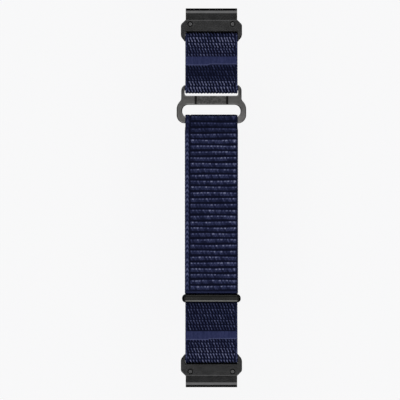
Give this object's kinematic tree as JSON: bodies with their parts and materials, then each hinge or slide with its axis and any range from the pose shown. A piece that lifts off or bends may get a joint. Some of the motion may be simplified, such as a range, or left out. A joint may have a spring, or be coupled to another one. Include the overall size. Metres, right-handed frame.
{
  "type": "fitness tracker band",
  "caption": "Woven hook-and-loop watch band with sprung quick-release end links, an open metal buckle, a peel-off tail and a sliding keeper.",
  "frame": {"origin": "middle of the band's length and width, on the surface that it rests on", "axes": "+Y along the band to the short strap's end link, +Z out of the front face, +X across the band"},
  "size_m": [0.0296, 0.161, 0.0056],
  "materials": {
    "webbing_twill": "navy nylon webbing, rows of small slanted stitches",
    "webbing_loop_pile": "navy nylon webbing, ribbed loop pile",
    "hook_pad": "dark moulded nylon hooks",
    "end_link_metal": "satin black coating",
    "buckle_metal": "satin gunmetal coating",
    "keeper_metal": "satin black coating",
    "latch_steel": "dark brushed steel",
    "screw_steel": "blackened steel",
    "spring_steel": "bright spring wire"
  },
  "bodies": {
    "buckle": {"buckle": "buckle_metal"},
    "short_strap": {"short_strap": "webbing_twill"},
    "upper_end_link": {"upper_frame": "end_link_metal", "upper_saddle": "end_link_metal", "upper_springs": "spring_steel", "upper_cover": "end_link_metal", "upper_frame_screws": "screw_steel", "upper_cover_screws": "screw_steel"},
    "upper_latch": {"upper_latch": "latch_steel"},
    "lower_end_link": {"lower_frame": "end_link_metal", "lower_saddle": "end_link_metal", "lower_springs": "spring_steel", "lower_cover": "end_link_metal", "lower_frame_screws": "screw_steel", "lower_cover_screws": "screw_steel"},
    "lower_latch": {"lower_latch": "latch_steel"},
    "strap_fold": {"strap_fold": "webbing_loop_pile"},
    "strap_link_1": {"strap_link_1": "webbing_twill"},
    "strap_link_2": {"strap_link_2": "webbing_twill"},
    "strap_link_3": {"strap_link_3": "webbing_twill"},
    "strap_base": {"strap_base": "webbing_twill"},
    "tail_link_1": {"tail_link_1": "webbing_loop_pile"},
    "tail_link_2": {"tail_link_2": "webbing_loop_pile"},
    "tail_link_3": {"tail_link_3": "webbing_loop_pile", "hook_pad_3": "hook_pad"},
    "tail_link_4": {"tail_link_4": "webbing_loop_pile", "hook_pad_4": "hook_pad"},
    "keeper": {"keeper": "keeper_metal"}
  },
  "joints": [
    {"name": "short_strap_swing", "type": "hinge", "parent": "buckle", "child": "short_strap", "pos_m": [0, 0.0467, 0.003], "axis": [-1, 0, 0], "range_deg": [-35, 35]},
    {"name": "upper_end_link_swing", "type": "hinge", "parent": "short_strap", "child": "upper_end_link", "pos_m": [0, 0.0678, 0.003], "axis": [-1, 0, 0], "range_deg": [-55, 65]},
    {"name": "strap_fold_swing", "type": "hinge", "parent": "buckle", "child": "strap_fold", "pos_m": [0, 0.033, 0.003], "axis": [1, 0, 0], "range_deg": [-35, 35]},
    {"name": "strap_bend_1", "type": "hinge", "parent": "strap_fold", "child": "strap_link_1", "pos_m": [0, 0.012, 0.003], "axis": [1, 0, 0], "range_deg": [-14, 36]},
    {"name": "strap_bend_2", "type": "hinge", "parent": "strap_link_1", "child": "strap_link_2", "pos_m": [0, -0.00877, 0.003], "axis": [1, 0, 0], "range_deg": [-14, 36]},
    {"name": "strap_bend_3", "type": "hinge", "parent": "strap_link_2", "child": "strap_link_3", "pos_m": [0, -0.02953, 0.003], "axis": [1, 0, 0], "range_deg": [-14, 36]},
    {"name": "strap_bend_4", "type": "hinge", "parent": "strap_link_3", "child": "strap_base", "pos_m": [0, -0.0503, 0.003], "axis": [1, 0, 0], "range_deg": [-14, 36]},
    {"name": "lower_end_link_swing", "type": "hinge", "parent": "strap_base", "child": "lower_end_link", "pos_m": [0, -0.0678, 0.003], "axis": [1, 0, 0], "range_deg": [-55, 65]},
    {"name": "tail_peel", "type": "hinge", "parent": "strap_fold", "child": "tail_link_1", "pos_m": [0, 0.025, 0.00435], "axis": [-1, 0, 0], "range_deg": [0, 150]},
    {"name": "tail_bend_1", "type": "hinge", "parent": "tail_link_1", "child": "tail_link_2", "pos_m": [0, 0.012, 0.003], "axis": [1, 0, 0], "range_deg": [-14, 36]},
    {"name": "tail_bend_2", "type": "hinge", "parent": "tail_link_2", "child": "tail_link_3", "pos_m": [0, -0.00877, 0.003], "axis": [1, 0, 0], "range_deg": [-14, 36]},
    {"name": "tail_bend_3", "type": "hinge", "parent": "tail_link_3", "child": "tail_link_4", "pos_m": [0, -0.02953, 0.003], "axis": [1, 0, 0], "range_deg": [-14, 36]},
    {"name": "upper_latch_slide", "type": "slide", "parent": "upper_end_link", "child": "upper_latch", "axis": [0, -1, 0], "range_m": [0, 0.0016], "stiffness_N_per_m": 500, "springref_m": -0.001, "deforming": ["upper_springs"]},
    {"name": "lower_latch_slide", "type": "slide", "parent": "lower_end_link", "child": "lower_latch", "axis": [0, 1, 0], "range_m": [0, 0.0016], "stiffness_N_per_m": 500, "springref_m": -0.001, "deforming": ["lower_springs"]},
    {"name": "keeper_slide", "type": "slide", "parent": "strap_link_3", "child": "keeper", "axis": [0, 1, 0], "range_m": [-0.0048, 0.0105]}
  ],
  "couplings": [
    {"joint": "tail_bend_1", "follows": "strap_bend_1", "ratio": 1},
    {"joint": "tail_bend_2", "follows": "strap_bend_2", "ratio": 1},
    {"joint": "tail_bend_3", "follows": "strap_bend_3", "ratio": 1}
  ]
}
